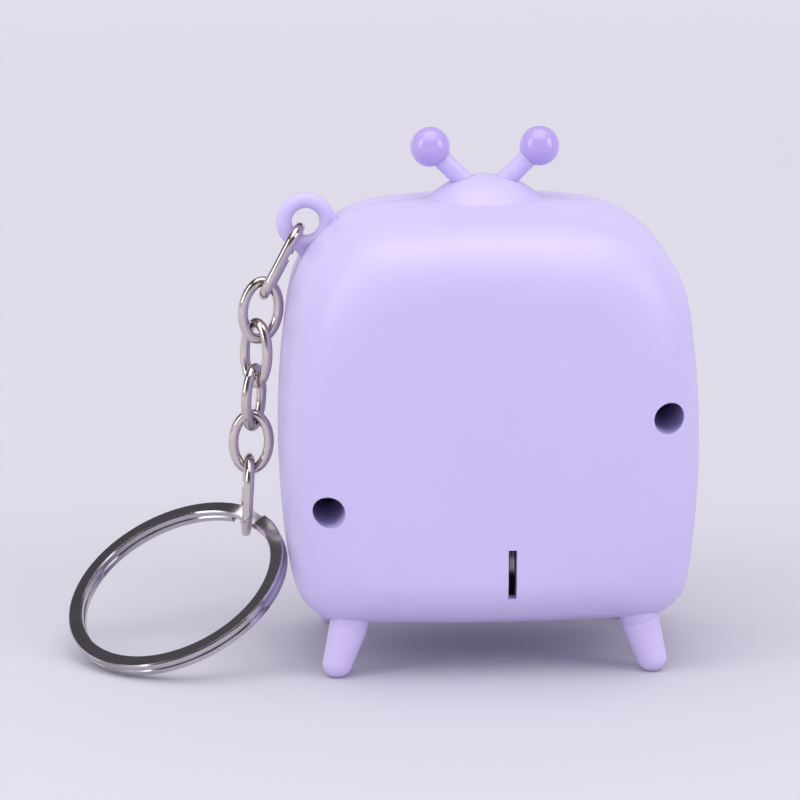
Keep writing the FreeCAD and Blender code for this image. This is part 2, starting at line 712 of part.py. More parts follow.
def front_bosses():
    """Screw bosses and leg pads, trimmed to stay inside the skin."""
    bosses = cylinders_at("case_boss", CASE_SCREWS, "case_boss_radius", CASE_BOSS_LENGTH,
                          BOSS_FRONT)
    bosses += cylinders_at("board_boss", BOARD_SCREWS, "board_boss_radius",
                           BOARD_FRONT - BOSS_FRONT, BOSS_FRONT)
    bosses += leg_pads(FRONT_LEGS)
    limit = feature("boss_limit", shell_solid(
        -1, SPACE_START, SIZE["front_depth"] - SKIN_MARGIN, SIZE["front_round"],
        SIZE["front_round"], SKIN_MARGIN))
    return common("boss_stack", [fuse("bosses_raw", bosses), limit])


def front_shell():
    edge_round = SIZE["front_round"]
    skin = feature("front_skin", shell_solid(
        -1, SIZE["seam_half_gap"], SIZE["front_depth"], edge_round, edge_round, 0.0))
    space = feature("front_space", shell_solid(
        -1, SPACE_START, SIZE["front_depth"] - SIZE["wall"], edge_round - SPACE_ROUND_LESS,
        edge_round - SPACE_ROUND_LESS, SIZE["wall"]))
    hollow = cut("front_hollow", skin, space)
    lip_outer = SIZE["wall"] + SIZE["lip_clear"]
    lip_inner = lip_outer + SIZE["lip_thick"]
    lip_root = band("lip_root", LIP_ROOT_FRONT, -SIZE["seam_half_gap"],
                    SIZE["wall"] - LIP_ROOT_BITE, lip_inner)
    lip_tongue = band("lip_tongue", LIP_TONGUE_FRONT, SIZE["lip_reach"], lip_outer, lip_inner)
    dome = dome_half("front_dome", -DOME_BOX[1] - SIZE["seam_half_gap"])
    lug_ring = torus("lug_ring", "lug_major", "lug_minor", Placement(LUG, TO_FRONT))
    solid = fuse("front_solid", [hollow, front_bosses(), lip_root, lip_tongue, dome, lug_ring,
                                 lug_web(space)])
    tools = []
    for cutter in FRONT_CUTTERS:
        tools += cylinders_at(*cutter)
    tools.append(block("window_tool", "window_w", "window_h", "frame_through",
                       (0, WINDOW_BACK, SCREEN_Z), "window_corner"))
    tools += antenna_tools("front") + leg_tools(FRONT_LEGS)
    return cut("front_shell", solid, fuse("front_tools", tools))


piece(rear_shell())
piece(front_shell())

# ---------------------------------------------------------------- antennas
SOCKET_CUTTER = 6.0
SOCKET_END_CLEAR = 0.03


def antenna_rods():
    rods = [cylinder("rod_" + name, "rod_radius", "rod_length", HUB, ROD_TURN[side])
            for side, name in SIDES]
    hub = cylinder("rod_hub", "hub_radius", "hub_length",
                   (0, -SIZE["hub_length"] / 2, SIZE["hub_height"]), TO_REAR)
    return fuse("antenna_rods", rods + [hub])


def antenna_ball(side, name):
    """Ball with a blind socket for the rod's end."""
    ball = sphere("ball_" + name, "ball_radius",
                  (side * SIZE["ball_centre_x"], 0, SIZE["ball_centre_z"]))
    start = SIZE["rod_length"] + SOCKET_END_CLEAR - SOCKET_CUTTER
    socket = cylinder("ball_socket_" + name, "ball_socket_radius", SOCKET_CUTTER,
                      HUB + ROD_DIRECTION[side] * start, ROD_TURN[side])
    return cut("antenna_ball_" + name, ball, socket)


piece(antenna_rods())
for side, side_name in SIDES:
    piece(antenna_ball(side, side_name))

# ---------------------------------------------------------------- screen stack
FRAME_CUTTER_BACK = -SIZE["front_depth"] + SIZE["spigot_depth"] + 0.3    # overruns the spigot
LENS_BACK = -9.25
# name, width, height, thickness, y of the front face
LCD_LAYERS = [
    ("lcd_polariser", "film_w", "film_h", "film_thick", -8.9),
    ("lcd_glass", "glass_w", "glass_h", "glass_thick", -8.7),
    ("lcd_reflector", "film_w", "film_h", "film_thick", -7.2),
]


def spigot_corner_edge(edge):
    if not upright(edge):
        return False
    middle = edge.CenterOfMass
    return (abs(abs(middle.x) - SIZE["spigot_w"] / 2) < 1e-3
            and abs(abs(middle.y) - SIZE["spigot_h"] / 2) < 1e-3)


def screen_frame():
    """Frame on the case front, with a spigot through the window and a seat for the lens."""
    blank = block("frame_blank", "frame_w", "frame_h", "frame_thick",
                  (0, -SIZE["front_depth"], SCREEN_Z), "frame_corner")
    round_edges(blank, flat_at(SIZE["frame_thick"]), "frame_edge")
    profile = sketch(blank)
    draw_rect(profile, "spigot_w", "spigot_h")
    pad(blank, profile, "spigot_depth", back=True)
    round_edges(blank, spigot_corner_edge, "spigot_corner")
    at = (0, FRAME_CUTTER_BACK, SCREEN_Z)
    opening = block("opening_tool", "opening_w", "opening_h", "frame_through", at,
                    "opening_corner")
    seat = block("seat_tool", "seat_w", "seat_h", "seat_reach", at, "seat_corner")
    return cut("screen_frame", blank, fuse("frame_tools", [opening, seat]))


def screen_lens():
    """Flanged lens whose front face is crowned by a large sphere."""
    at = (0, LENS_BACK, SCREEN_Z)
    flange = block("lens_flange", "lens_flange_w", "lens_flange_h", "lens_flange_thick", at,
                   "lens_flange_corner")
    centre = block("lens_centre", "lens_w", "lens_h", "frame_through", at, "lens_corner")
    crown = sphere("lens_crown_ball", "lens_crown",
                   (0, LENS_BACK - SIZE["lens_thick"] + SIZE["lens_crown"], SCREEN_Z))
    return fuse("screen_lens", [flange, common("lens_crowned", [centre, crown])])


def lcd_holder():
    """Open holder on the board, with a shallow seat at its front."""
    holder = block("lcd_holder", "holder_w", "holder_h", "holder_depth",
                   (0, BOARD_FRONT, SCREEN_Z), "holder_corner")
    pocket_rect(holder, "holder_seat_w", "holder_seat_h", "holder_seat_depth", "holder_depth")
    pocket_rect(holder, "holder_open_w", "holder_open_h", "holder_depth", "holder_depth")
    return holder


def zebra_strips():
    strips = [block("zebra_" + name, "zebra_length", "zebra_width", "zebra_height",
                    (0, BOARD_FRONT - TOUCH_GAP, SCREEN_Z + sign * SIZE["zebra_spacing"]))
              for sign, name in ((1, "upper"), (-1, "lower"))]
    return compound("zebra_strips", strips)


piece(screen_frame())
piece(screen_lens())
for layer, width, height, thick, y_front in LCD_LAYERS:
    piece(block(layer, width, height, thick, (0, y_front + SIZE[thick], SCREEN_Z)))
piece(lcd_holder())
piece(zebra_strips())

# ---------------------------------------------------------------- buttons and keypad
PILL_BACK = -5.45
PILL_FRONT = PILL_BACK - SIZE["pill_thick"]


def button(name, x, z):
    """Stem, flange and rounded cap, from the stem's end towards the front."""
    result = turned("button_" + name, [
        (0, 0), ("button_stem_radius", 0), ("button_stem_radius", "button_flange_low"),
        ("button_flange_radius", "button_flange_low"),
        ("button_flange_radius", "button_flange_high"),
        ("button_radius", "button_flange_high"), ("button_radius", "button_cap_top"),
        (0, "button_cap_top")], (x, PILL_FRONT, z), TO_FRONT)
    round_edges(result, flat_at(SIZE["button_cap_top"]), "button_round")
    return result


def keypad_pill(name, x, z):
    """Disc behind a button's stem, its rear edge rounded."""
    result = disc("keypad_pill_" + name, "pill_radius", "pill_thick", (x, PILL_BACK, z))
    round_edges(result, flat_at(0), "pill_edge")
    return result


def keypad_sheet():
    result = block("keypad_sheet", "keypad_w", "keypad_h", "keypad_thick",
                   (0, BOARD_FRONT - TOUCH_GAP, SIZE["button_row_height"]), "keypad_corner")
    for x, z in BUTTONS:
        pocket_hole(result, "keypad_hole_radius", "keypad_thick", x, 0)
    return result


for button_name, (x, z) in zip(("right", "middle", "left"), BUTTONS):
    piece(button(button_name, x, z))
    piece(keypad_pill(button_name, x, z))
piece(keypad_sheet())

# ---------------------------------------------------------------- circuit board
BLOB_X, BLOB_Z = -5.5, 37.5
BLOB_BOX, BLOB_BOX_DEPTH = 20, 5
FINE_GAP = 0.005
CRYSTAL_X, CRYSTAL_Z = 5.0, 41.5
CRYSTAL_RISE = 1.05          # axis above the board's rear face
CRYSTAL_LEAD = (1.6, 0.3, 0.3)
CRYSTAL_LEAD_X, CRYSTAL_LEAD_RISE = 3.5, 0.6
CHIP_THICK = 0.6
# x, z of the low corner, then size along x and z
CHIPS = [(4.5, 35.0, 1.6, 0.8), (4.5, 32.6, 1.6, 0.8), (9.0, 35.2, 0.8, 1.6),
         (12.0, 30.5, 2.0, 1.25), (-12.0, 27.0, 2.0, 1.25), (1.0, 28.5, 1.6, 0.8)]


def circuit_board():
    """Board with screw and stake holes, notched at its sides around the case screws."""
    middle = SIZE["board_mid_height"]
    board = block("circuit_board", "board_w", "board_h", "board_thick",
                  (0, BOARD_BACK, middle), "board_corner")
    for spots, radius in ((BOARD_SCREWS, "board_hole_radius"), (STAKES, "stake_hole_radius"),
                          (CASE_SCREWS, "board_notch_radius")):
        for x, z in spots:
            pocket_hole(board, radius, "board_thick", x, z - middle)
    return board


def board_screws():
    profile = [(0, "board_screw_crown"), ("board_screw_head_radius", "board_screw_edge"),
               ("board_screw_head_radius", TOUCH_GAP), ("board_screw_radius", TOUCH_GAP),
               ("board_screw_radius", "-board_screw_length"), (0, "-board_screw_point")]
    screws = [turned("board_screw_%d" % i, profile, (x, BOARD_BACK, z), TO_REAR)
              for i, (x, z) in enumerate(BOARD_SCREWS)]
    return compound("board_screws", screws)


def chip_blob():
    """Cap of a sphere on the board's rear face."""
    ball = sphere("blob_ball", "blob_sphere",
                  (BLOB_X, BOARD_BACK + SIZE["blob_thick"] - SIZE["blob_sphere"], BLOB_Z))
    keep = box("blob_slab", (BLOB_BOX, BLOB_BOX_DEPTH, BLOB_BOX),
               (BLOB_X - BLOB_BOX / 2, BOARD_BACK + FINE_GAP, BLOB_Z - BLOB_BOX / 2))
    return common("chip_blob", [ball, keep])


def crystal():
    can = cylinder("crystal_can", "crystal_radius", "crystal_length",
                   (CRYSTAL_X, BOARD_BACK + CRYSTAL_RISE, CRYSTAL_Z), TO_LEFT)
    leads = [box("crystal_lead_" + name, CRYSTAL_LEAD,
                 (CRYSTAL_LEAD_X, BOARD_BACK + CRYSTAL_LEAD_RISE, z))
             for name, z in (("a", 41.9), ("b", 40.8))]
    return fuse("crystal", [can] + leads)


def smd_parts():
    chips = [box("chip_%d" % i, (wide, CHIP_THICK, high), (x, BOARD_BACK + TOUCH_GAP, z))
             for i, (x, z, wide, high) in enumerate(CHIPS)]
    return compound("smd_parts", chips)


piece(circuit_board())
piece(board_screws())
piece(chip_blob())
piece(crystal())
piece(smd_parts())


# ---------------------------------------------------------------- case screws
def case_screw(name, x, z):
    """Pointed screw with a cross recess in its head, which faces the rear."""
    screw = turned(name, [
        (0, "screw_head"), ("screw_crown_radius", "screw_head"),
        ("screw_head_radius", "screw_head_edge"), ("screw_head_radius", 0),
        ("screw_radius", 0), ("screw_radius", "-screw_length"), (0, "-screw_point")],
        (x, SIZE["bore_floor"] + TOUCH_GAP, z), TO_REAR)
    pocket_rect(screw, "recess_length", "recess_width", "recess_depth", "screw_head")
    pocket_rect(screw, "recess_width", "recess_length", "recess_depth", "screw_head")
    return screw


piece(compound("case_screws", [case_screw("case_screw_%d" % i, x, z)
                               for i, (x, z) in enumerate(CASE_SCREWS)]))

# ---------------------------------------------------------------- cells, cradle and contacts
CELL_Y, CELL_Z = SIZE["cell_y"], SIZE["cell_z"]
# each x is the cell's low-x face; the two cells meet at the pull tab
RIGHT_CELL_X = SIZE["slot_x"] - TOUCH_GAP - SIZE["cell_thick"]
LEFT_CELL_X = SIZE["slot_x"] + TOUCH_GAP
CELLS_END = LEFT_CELL_X + SIZE["cell_thick"]

CRADLE_RIGHT = RIGHT_CELL_X - 1.45
CRADLE_LEFT = CELLS_END + 4.3
CRADLE_SPAN = CRADLE_LEFT - CRADLE_RIGHT
CRADLE_FRONT = 5.4
CRADLE_WALL = 1.0
POST_END = 5.5
PIN_LENGTH = 3.0
PIN_SETBACK = 0.1            # from the board's front face
SPRING_GAP = 0.3
CONTACT_GAP = 0.02
# name, extents, x, z; every panel starts at CRADLE_FRONT
CRADLE_PANELS = [
    ("cradle_back", (CRADLE_SPAN, CRADLE_WALL, 12.8), CRADLE_RIGHT, 7.4),
    ("cradle_end_a", (CRADLE_WALL, 10.6, 11.6), CRADLE_RIGHT, 8.0),
    ("cradle_end_b", (CRADLE_WALL, 10.6, 11.6), CRADLE_LEFT - CRADLE_WALL, 8.0),
    ("cradle_top", (CRADLE_SPAN, 8.4, 0.8), CRADLE_RIGHT, 19.4),
]


def button_cell(name, x):
    """Cell lying along X, with its narrower cap at the +X end."""
    cell = turned("button_cell_" + name, [
        (0, 0), ("cell_radius", 0), ("cell_radius", "cell_can"),
        ("cell_cap_radius", "cell_can"), ("cell_cap_radius", "cell_thick"),
        (0, "cell_thick")], (x, CELL_Y, CELL_Z), TO_LEFT)
    round_edges(cell, flat_at(0), "cell_edge")
    return cell


def battery_holder():
    """Cradle of flat panels on two posts, each with a pin into the board."""
    parts = [box(name, extents, (x, CRADLE_FRONT, z))
             for name, extents, x, z in CRADLE_PANELS]
    posts = cylinders_at("stake_post", STAKES, "stake_radius",
                         POST_END - BOARD_BACK - TOUCH_GAP, BOARD_BACK + TOUCH_GAP)
    pins = cylinders_at("stake_pin", STAKES, "stake_pin_radius", PIN_LENGTH,
                        BOARD_FRONT + PIN_SETBACK)
    for post, pin in zip(posts, pins):
        parts += [post, pin]
    return fuse("battery_holder", parts)


def battery_spring():
    path = doc.addObject("Part::Helix", "spring_path")
    drive(path, "Radius", "spring_radius")
    drive(path, "Pitch", "spring_pitch")
    drive(path, "Height", "spring_height")
    section = wire_section("spring_section", "spring_wire", "spring_radius")
    spring = sweep("battery_spring", section, path)
    spring.Placement = Placement(Vector(CELLS_END + SPRING_GAP, CELL_Y, CELL_Z), TO_LEFT)
    return spring


piece(button_cell("right", RIGHT_CELL_X))
piece(button_cell("left", LEFT_CELL_X))
piece(battery_holder())
piece(battery_spring())
# local x points down here, so the plate's height comes first
piece(block("battery_contact", "plate_h", "plate_w", "plate_thick",
            (RIGHT_CELL_X - CONTACT_GAP - SIZE["plate_thick"], CELL_Y, CELL_Z),
            turn=TO_LEFT))

# ---------------------------------------------------------------- sounder and wires
PIEZO_BACK = SIZE["rear_depth"] - SIZE["wall"] - 0.03
PIEZO_FRONT = PIEZO_BACK - SIZE["piezo_thick"]
piece(disc("piezo_plate", "piezo_radius", "piezo_thick",
           (0, PIEZO_BACK, SIZE["piezo_height"])))
piece(disc("piezo_ceramic", "ceramic_radius", "ceramic_thick",
           (0, PIEZO_FRONT - FINE_GAP, SIZE["piezo_height"])))

LEAD_RADIUS = SIZE["lead_radius"]
LEAD_GAP = 0.12
PLATE_LEAD_Y = PIEZO_FRONT - LEAD_GAP - LEAD_RADIUS
CERAMIC_LEAD_Y = PLATE_LEAD_Y - SIZE["ceramic_thick"]
LEAD_END_Y = BOARD_BACK + 0.15
RIGHT_LEAD_X = CRADLE_RIGHT - 0.02 - LEAD_RADIUS
LEFT_LEAD_X = CRADLE_LEFT + 0.02 + LEAD_RADIUS
# centre-line points of each lead, ending at the board
SOUNDER_LEADS = [
    [(2.0, CERAMIC_LEAD_Y, 36.0), (6.0, CERAMIC_LEAD_Y - 1.0, 34.0), (9.5, 12.0, 36.0),
     (9.0, 5.0, 42.0), (10.5, 0.5, 44.2), (10.5, LEAD_END_Y, 44.5)],
    [(-6.6, PLATE_LEAD_Y, 37.0), (-9.0, PLATE_LEAD_Y - 1.5, 35.5), (-8.5, 12.0, 38.0),
     (3.0, 5.5, 45.5), (7.8, 0.5, 45.2), (8.0, LEAD_END_Y, 45.0)],
]
BATTERY_LEADS = [
    [(RIGHT_LEAD_X, 12.0, 16.5), (RIGHT_LEAD_X - 0.5, 8.0, 18.0),
     (RIGHT_LEAD_X - 1.0, 2.0, 20.0), (RIGHT_LEAD_X - 1.0, LEAD_END_Y, 21.5)],
    [(LEFT_LEAD_X, 12.0, 16.5), (LEFT_LEAD_X + 0.5, 8.0, 18.0),
     (LEFT_LEAD_X + 0.2, 2.0, 20.0), (LEFT_LEAD_X, LEAD_END_Y, 21.5)],
]


def lead(points):
    """Round wire along a smooth curve through the points."""
    curve = Part.BSplineCurve()
    curve.interpolate([Vector(*point) for point in points])
    first = curve.FirstParameter
    section = Part.Circle(curve.value(first), curve.tangent(first)[0], LEAD_RADIUS)
    pipe = Part.BRepOffsetAPI.MakePipeShell(Part.Wire([curve.toShape()]))
    pipe.add(Part.Wire([section.toShape()]))
    pipe.setFrenetMode(True)
    pipe.build()
    pipe.makeSolid()
    return pipe.shape()


for wires_name, leads in (("sounder_wires", SOUNDER_LEADS), ("battery_wires", BATTERY_LEADS)):
    piece(feature(wires_name, Part.makeCompound([lead(points) for points in leads])))

# ---------------------------------------------------------------- chain
CHAIN_Y = LUG.y
# For each link: wire centres at its top and low ends, and the x, y of the direction across
# it, from its far strand to its near strand.
LINKS = {
    "lug_link": ((22.55, CHAIN_Y, 51.81), (26.95, CHAIN_Y, 43.42), (0.2, 1.0)),
    "chain_link_2": ((26.95, CHAIN_Y, 45.11), (27.854, CHAIN_Y, 37.938), (0.98, 0.17)),
    "chain_link_3": ((27.854, CHAIN_Y, 39.928), (28.179, CHAIN_Y, 32.357), (-0.6, 0.8)),
    "chain_link_4": ((28.179, CHAIN_Y, 34.257), (28.51, CHAIN_Y, 26.885), (0.45, 0.89)),
    "chain_link_5": ((28.51, CHAIN_Y, 28.425), (28.962, CHAIN_Y, 21.453), (0.98, -0.17)),
    "ring_link": ((28.962, CHAIN_Y, 22.883), (29.5, -1.0, 13.6), (0.0, 1.0)),
}
GAP_SHIFT = 0.6              # of the wire gap, towards the link's top
GAP_CUTTER = 3.0


def link_placement(name):
    """Placement with local x along the link, towards its top, and local y across it."""
    top, low, across = LINKS[name]
    top, low = Vector(*top), Vector(*low)
    x_axis = (top - low).normalize()
    z_axis = x_axis.cross(Vector(*across, 0)).normalize()
    y_axis = z_axis.cross(x_axis).normalize()
    return axes_placement((top + low) * 0.5, x_axis, y_axis, z_axis)


def oval_link(name, long_radius, wide_radius):
    path = doc.addObject("Part::Ellipse", name + "_path")
    drive(path, "MajorRadius", long_radius)
    drive(path, "MinorRadius", wide_radius)
    section = wire_section(name + "_section", "wire_radius", long_radius)
    link = sweep(name, section, path)
    link.Placement = link_placement(name)
    return link


def long_link(name, bend, straight):
    """Two half rings joined by two straight strands, with a gap in the strand at local -y."""
    half = SIZE[straight] / 2
    parts = []
    for sign, tag in ((1, "a"), (-1, "b")):
        half_ring = torus(name + "_bend_" + tag, bend, "wire_radius",
                          Placement(Vector(sign * half, 0, 0),
                                    turn_about((0, 0, 1), -90 * sign)))
        half_ring.Angle3 = 180.0
        strand = cylinder(name + "_strand_" + tag, "wire_radius", straight,
                          (-half, sign * SIZE[bend], 0), TO_LEFT)
        parts += [half_ring, strand]
    gap = box(name + "_gap", ("link_gap", GAP_CUTTER, GAP_CUTTER),
              (-SIZE["link_gap"] / 2 + GAP_SHIFT, -SIZE[bend] - GAP_CUTTER / 2,
               -GAP_CUTTER / 2))
    link = cut(name, fuse(name + "_closed", parts), gap)
    link.Placement = link_placement(name)
    return link


piece(long_link("lug_link", "end_link_bend", "end_link_straight"))
piece(oval_link("chain_link_2", "link_two_long", "link_two_wide"))
piece(oval_link("chain_link_3", "link_three_long", "link_three_wide"))
piece(oval_link("chain_link_4", "link_four_long", "link_four_wide"))
piece(oval_link("chain_link_5", "link_five_long", "link_five_wide"))
piece(long_link("ring_link", "ring_link_bend", "ring_link_straight"))

# ---------------------------------------------------------------- split ring
# Flat strip wound twice.  Local z is the ring's axis and local x points at the step
# where the strip climbs from the lower turn to the upper one.
RING_CENTRE = Vector(38.113, 5.538, 8.326)
RING_AXIS = Vector(0.367, 0.384, 0.847).normalize()
RING_STEP = Vector(-0.686, -0.503, 0.525)
TURN_STEPS = 66
JOG_STEPS = 14


def spaced(start, end, steps):
    """Even steps from start, without the end."""
    return [start + (end - start) * i / steps for i in range(steps)]


def split_ring_solid():
    outer = SIZE["ring_radius"]
    inner = outer - SIZE["ring_strip_width"]
    half_thick = SIZE["ring_strip_thick"] / 2
    chamfer = SIZE["ring_chamfer"]
    half_jog = SIZE["ring_jog_angle"] / 2
    jog_start, jog_end = 360 - half_jog, 360 + half_jog
    first = half_jog + SIZE["ring_end_angle"]
    last = 720 - first
    angles = (spaced(first, jog_start, TURN_STEPS) + spaced(jog_start, jog_end, JOG_STEPS)
              + spaced(jog_end, last, TURN_STEPS) + [last])

    def height(angle):
        """Level on each turn, with a smooth climb over the jog."""
        part = min(max((angle - jog_start) / (2 * half_jog), 0.0), 1.0)
        return SIZE["ring_pitch"] * (part * part * (3 - 2 * part) - 0.5)

    # chamfered strip section as (radius, height)
    section = [(inner + chamfer, -half_thick), (outer - chamfer, -half_thick),
               (outer, -half_thick + chamfer), (outer, half_thick - chamfer),
               (outer - chamfer, half_thick), (inner + chamfer, half_thick),
               (inner, half_thick - chamfer), (inner, -half_thick + chamfer)]
    rails, starts, ends = [], [], []
    for radius, rise in section:
        points = [Vector(radius * math.cos(math.radians(angle)),
                         radius * math.sin(math.radians(angle)), height(angle) + rise)
                  for angle in angles]
        curve = Part.BSplineCurve()
        curve.interpolate(points)
        rails.append(curve.toShape())
        starts.append(points[0])
        ends.append(points[-1])
    faces = [Part.makeRuledSurface(rail, after)
             for rail, after in zip(rails, rails[1:] + rails[:1])]
    for corners in (starts, ends):
        faces.append(Part.Face(Part.makePolygon(corners + [corners[0]])))
    skin = Part.Compound(faces)
    skin.sewShape(1e-4)
    solid = Part.Solid(skin.Shells[0])
    # sewing may leave the shell inside out
    if solid.Volume < 0:
        solid.reverse()
    return solid


def split_ring():
    y_axis = RING_AXIS.cross(RING_STEP).normalize()
    x_axis = y_axis.cross(RING_AXIS).normalize()
    ring = feature("split_ring", split_ring_solid())
    ring.Placement = axes_placement(RING_CENTRE, x_axis, y_axis, RING_AXIS)
    return ring


piece(split_ring())

# ---------------------------------------------------------------- check and write
doc.recompute()
faults = ["%s %s" % (obj.Name, obj.State) for obj in doc.Objects
          if "Invalid" in obj.State or "Error" in obj.State]
for obj in pieces:
    if obj.Shape.isNull() or not obj.Shape.isValid() or not obj.Shape.Solids:
        faults.append("%s shape" % obj.Label)
if faults:
    raise RuntimeError("not built: " + "; ".join(faults))
os.makedirs("parts", exist_ok=True)
for obj in pieces:
    obj.Shape.exportStep("parts/%s.step" % obj.Label)
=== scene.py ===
# A small lavender key-chain gadget: a case with a display and three buttons, two ball-tipped
# antennas, four legs, and a chain ending in a split ring. Z is up and the camera looks from +Y.
# The pieces come from the CAD; this adds materials, shading, the display picture and a studio.
import bpy
import bmesh
import math
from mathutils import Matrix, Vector


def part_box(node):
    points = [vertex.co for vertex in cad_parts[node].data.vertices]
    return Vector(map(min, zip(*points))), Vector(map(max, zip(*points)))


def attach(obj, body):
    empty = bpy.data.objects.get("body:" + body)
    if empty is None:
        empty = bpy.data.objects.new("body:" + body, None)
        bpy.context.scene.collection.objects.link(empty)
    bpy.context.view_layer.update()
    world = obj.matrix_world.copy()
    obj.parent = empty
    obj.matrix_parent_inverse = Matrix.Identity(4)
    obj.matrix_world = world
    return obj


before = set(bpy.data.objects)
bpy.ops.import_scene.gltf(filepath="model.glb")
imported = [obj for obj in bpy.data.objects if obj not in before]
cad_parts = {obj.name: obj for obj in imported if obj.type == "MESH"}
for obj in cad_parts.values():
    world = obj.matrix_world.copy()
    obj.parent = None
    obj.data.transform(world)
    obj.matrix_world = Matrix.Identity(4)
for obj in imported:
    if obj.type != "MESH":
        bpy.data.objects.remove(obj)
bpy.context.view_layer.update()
scene = bpy.context.scene
MM = 0.001


def in_mm(*values):
    return tuple(value * MM for value in values)


DOT_PITCH = 0.5 * MM            # spacing of the display's dots and of its electrode grid
SMOOTH_LIMIT = 32               # degrees; edges that turn further stay sharp
WELD_DISTANCE = 2e-6

RING_CENTRE = in_mm(38.113, 5.538, 8.326)
RING_AXIS = (0.367, 0.384, 0.847)
RING_ZERO = (-0.686, -0.503, 0.525)     # direction in the ring's plane where its angle is zero


# ------------------------------------------------------------------ colours
def srgb(*channels):
    """Linear RGBA from 0-255 sRGB channels."""
    def linear(channel):
        channel = channel / 255.0
        if channel <= 0.04045:
            return channel / 12.92
        return ((channel + 0.055) / 1.055) ** 2.4
    return tuple(linear(channel) for channel in channels) + (1.0,)


def shade(color, factor):
    return tuple(min(channel * factor, 1.0) for channel in color[:3]) + (1.0,)


# ------------------------------------------------------------------ shader building
class Shader:
    """A node tree with an output, one main shader and texture coordinates."""

    def __init__(self, owner, output, shader, coordinates):
        owner.use_nodes = True
        self.tree = owner.node_tree
        self.tree.nodes.clear()
        self.out = self.node(output)
        self.main = self.node(shader)
        self.feed(self.out.inputs[0], self.main.outputs[0])
        self.coord = self.node("TexCoord").outputs[coordinates]

    def feed(self, socket, value):
        """Link a node's output to the socket, or set the socket to a plain value."""
        if isinstance(value, bpy.types.NodeSocket):
            self.tree.links.new(value, socket)
        else:
            socket.default_value = value

    def node(self, kind, inputs=None, **properties):
        node = self.tree.nodes.new("ShaderNode" + kind)
        for name, value in properties.items():
            setattr(node, name, value)
        for key, value in (inputs or {}).items():
            self.feed(node.inputs[key], value)
        return node

    def surface(self, inputs):
        for name, value in inputs.items():
            self.feed(self.main.inputs[name], value)

    def noise(self, scale, detail=3.0, rough=0.5, vector=None):
        return self.node("TexNoise", {
            "Scale": scale, "Detail": detail, "Roughness": rough,
            "Vector": vector or self.coord}).outputs[0]

    def remap(self, value, span=(0.3, 0.7), to=(0.0, 1.0)):
        return self.node("MapRange", {
            "From Min": span[0], "From Max": span[1],
            "To Min": to[0], "To Max": to[1], "Value": value}).outputs[0]

    def noise_range(self, scale, detail=3.0, rough=0.5, span=(0.3, 0.7), to=(0.0, 1.0)):
        return self.remap(self.noise(scale, detail, rough), span, to)

    def mix(self, factor, first, second):
        return self.node("Mix", {0: factor, 6: first, 7: second}, data_type="RGBA").outputs[2]

    def mix_shaders(self, factor, first, second):
        """Blend two shader nodes into the output."""
        pick = self.node("MixShader", {0: factor, 1: first.outputs[0], 2: second.outputs[0]})
        self.feed(self.out.inputs[0], pick.outputs[0])

    def math(self, operation, *values):
        return self.node("Math", dict(enumerate(values)), operation=operation).outputs[0]

    def vector_math(self, operation, inputs, output):
        return self.node("VectorMath", inputs, operation=operation).outputs[output]

    def dot(self, vector, direction):
        return self.vector_math("DOT_PRODUCT", {0: vector, 1: tuple(direction)}, "Value")

    def bump(self, height, strength, distance, normal=None):
        inputs = {"Strength": strength, "Distance": distance, "Height": height}
        if normal is not None:
            inputs["Normal"] = normal
        return self.node("Bump", inputs).outputs[0]

    def edge(self, radius):
        """Normals that round the corners by the given radius."""
        return self.node("Bevel", {"Radius": radius}, samples=4).outputs[0]


def new_material(name):
    material = bpy.data.materials.new(name)
    return material, Shader(material, "OutputMaterial", "BsdfPrincipled", "Object")


# ------------------------------------------------------------------ materials
def plastic(name, color, rough=0.42, grain=0.35, sss=0.12, coat=0.12):
    """Moulded plastic: slow colour drift, fine grain, softened edges, faint scuffs."""
    material, t = new_material(name)
    drift = t.noise_range(scale=55.0, detail=2.0)
    base = t.mix(drift, shade(color, 0.975), shade(color, 1.02))
    speck = t.noise_range(scale=2600.0, detail=2.0, span=(0.35, 0.75), to=(0.0, 0.10))
    base = t.mix(speck, base, shade(color, 1.12))
    smear = t.noise_range(scale=240.0, detail=5.0, rough=0.6, span=(0.35, 0.7),
                          to=(rough - 0.035, rough + 0.05))
    scuff = t.noise_range(scale=900.0, detail=6.0, rough=0.7, span=(0.55, 0.8), to=(0.0, 0.03))
    roughness = t.math("ADD", smear, scuff)
    normal = t.edge(radius=0.12 * MM)
    normal = t.bump(t.noise(scale=5200.0, detail=2.0), strength=grain * 0.20,
                    distance=0.02 * MM, normal=normal)
    normal = t.bump(t.noise(scale=160.0, detail=2.0), strength=0.10,
                    distance=0.10 * MM, normal=normal)
    t.surface({
        "Base Color": base,
        "Roughness": roughness,
        "Normal": normal,
        "Subsurface Weight": sss,
        "Subsurface Radius": (0.9, 0.75, 1.0),
        "Subsurface Scale": 0.9 * MM,
        "Coat Weight": coat,
        "Coat Roughness": 0.22,
        "IOR": 1.47,
    })
    return material


def metal(name, color, rough, scratch):
    """Plain metal with clouded colour and a slightly uneven surface."""
    material, t = new_material(name)
    cloud = t.noise_range(scale=380.0, detail=4.0)
    base = t.mix(cloud, shade(color, 0.93), shade(color, 1.03))
    roughness = t.noise_range(scale=900.0, detail=5.0, rough=0.65, span=(0.3, 0.75),
                              to=(rough * 0.7, rough * 1.5))
    normal = t.edge(radius=0.05 * MM)
    normal = t.bump(t.noise(scale=1500.0, detail=4.0, rough=0.6), strength=0.10 * scratch,
                    distance=0.02 * MM, normal=normal)
    normal = t.bump(t.noise(scale=420.0, detail=2.0), strength=0.22 * scratch,
                    distance=0.05 * MM, normal=normal)
    t.surface({"Base Color": base, "Metallic": 1.0, "Roughness": roughness, "Normal": normal})
    return material


